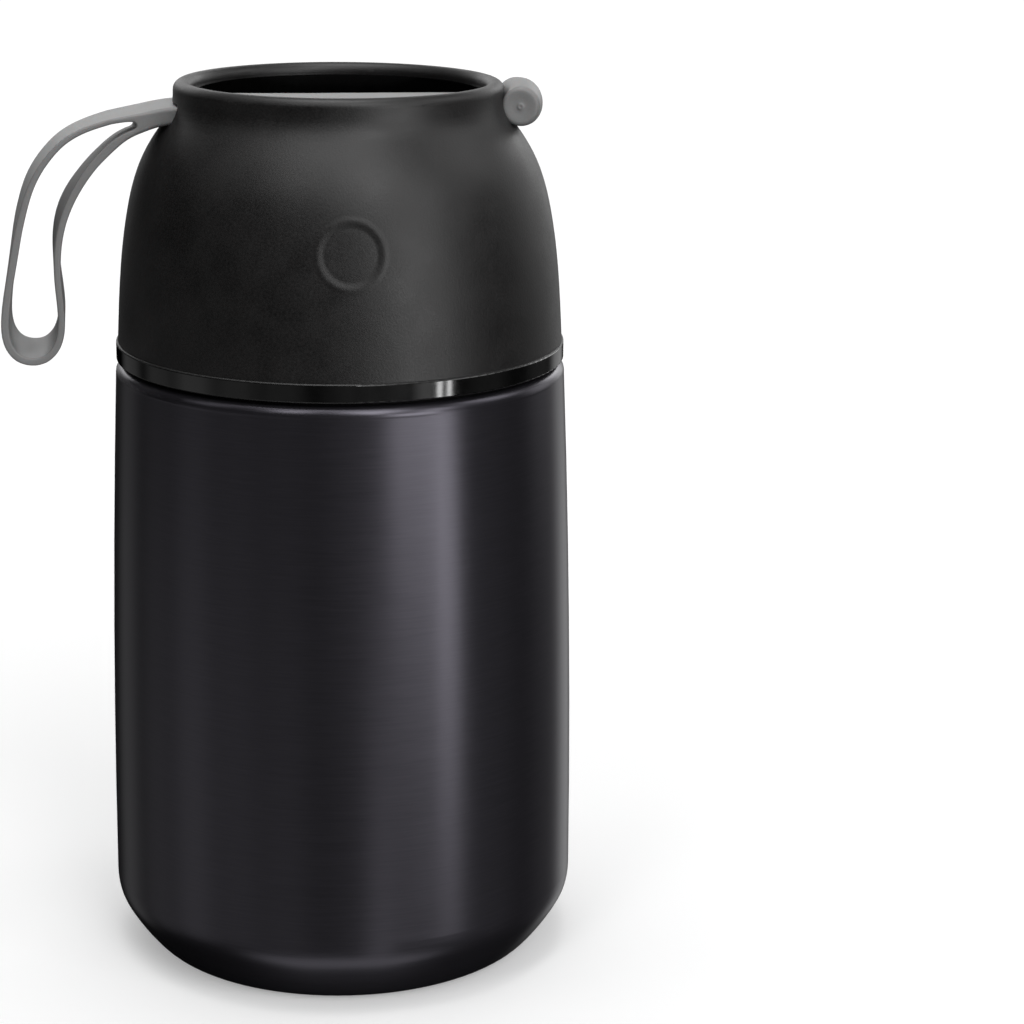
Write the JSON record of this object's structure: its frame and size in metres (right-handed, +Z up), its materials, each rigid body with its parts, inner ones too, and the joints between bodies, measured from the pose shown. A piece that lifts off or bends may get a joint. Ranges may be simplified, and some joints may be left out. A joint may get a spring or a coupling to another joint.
{
  "type": "insulated food jar",
  "caption": "Double-walled food jar with a bell-shaped screw cap, a spoon well in its top, a screw-in stopper with a steam valve, and a silicone strap loop.",
  "frame": {"origin": "centre of the base, on the plane that the jar stands on", "axes": "+Z up along the jar's axis, -Y the front with the debossed spot, the strap's loop hangs on the -X side"},
  "size_m": [0.1243, 0.1016, 0.1911],
  "materials": {
    "coated_steel": "dark matt coat over a fine horizontal brush",
    "bare_steel": "satin stainless steel",
    "solder": "dull solder",
    "getter_metal": "pressed metal powder",
    "copper_foil": "bright copper foil",
    "soft_touch_black": "soft-touch black",
    "liner_black": "semi-gloss black",
    "gloss_black": "gloss black",
    "gasket_black": "black silicone",
    "strap_grey": "matt grey silicone",
    "stopper_black": "fine satin black",
    "foam_white": "white closed-cell foam",
    "gasket_clear": "translucent silicone",
    "button_grey": "matt grey silicone-coated plastic",
    "spring_steel": "bright spring wire"
  },
  "bodies": {
    "vessel": {"outer_shell": "coated_steel", "inner_vessel": "bare_steel", "mid_bottom": "bare_steel", "vacuum_seal": "solder", "getter": "getter_metal", "reflective_foil": "copper_foil", "outer_base": "bare_steel"},
    "cap_core": {"cap_foam": "foam_white"},
    "cap_ring": {"cap_gasket": "gasket_black"},
    "cap": {"cap_shell": "soft_touch_black", "cap_liner": "liner_black", "well_cup": "gloss_black", "strap_tongue": "strap_grey"},
    "strap": {"strap_loop": "strap_grey"},
    "stopper_core": {"stopper_foam": "foam_white"},
    "stopper_ring": {"stopper_gasket": "gasket_clear"},
    "stopper": {"stopper_body": "stopper_black", "stopper_cover": "stopper_black", "valve_spring": "spring_steel"},
    "valve": {"valve_button": "button_grey", "valve_stem": "stopper_black", "valve_seal": "gasket_clear"}
  },
  "joints": [
    {"name": "stopper_lift", "type": "slide", "parent": "vessel", "child": "stopper_core", "axis": [0, 0, 1], "range_m": [0, 0.03]},
    {"name": "cap_lift", "type": "slide", "parent": "stopper_core", "child": "cap_core", "axis": [0, 0, 1], "range_m": [0, 0.04]},
    {"name": "cap_rise", "type": "slide", "parent": "cap_core", "child": "cap_ring", "axis": [0, 0, 1], "range_m": [0, 0.009]},
    {"name": "cap_turn", "type": "hinge", "parent": "cap_ring", "child": "cap", "pos_m": [0, 0, 0.136], "axis": [0, 0, 1], "range_deg": [0, 540]},
    {"name": "strap_swing", "type": "hinge", "parent": "cap", "child": "strap", "pos_m": [-0.0395, 0, 0.1846], "axis": [0, 1, 0], "range_deg": [-6, 100], "stiffness_Nm_per_rad": 0.036, "springref_deg": 4.01},
    {"name": "stopper_rise", "type": "slide", "parent": "stopper_core", "child": "stopper_ring", "axis": [0, 0, 1], "range_m": [0, 0.0045]},
    {"name": "stopper_turn", "type": "hinge", "parent": "stopper_ring", "child": "stopper", "pos_m": [0, 0, 0.154], "axis": [0, 0, 1], "range_deg": [0, 360]},
    {"name": "valve_press", "type": "slide", "parent": "stopper", "child": "valve", "axis": [0, 0, -1], "range_m": [0, 0.002], "stiffness_N_per_m": 400, "springref_m": -0.003, "deforming": ["valve_spring"]}
  ],
  "couplings": [
    {"joint": "cap_rise", "follows": "cap_turn", "m_per_rad": 0.00095493},
    {"joint": "stopper_rise", "follows": "stopper_turn", "m_per_rad": 0.0007162}
  ]
}
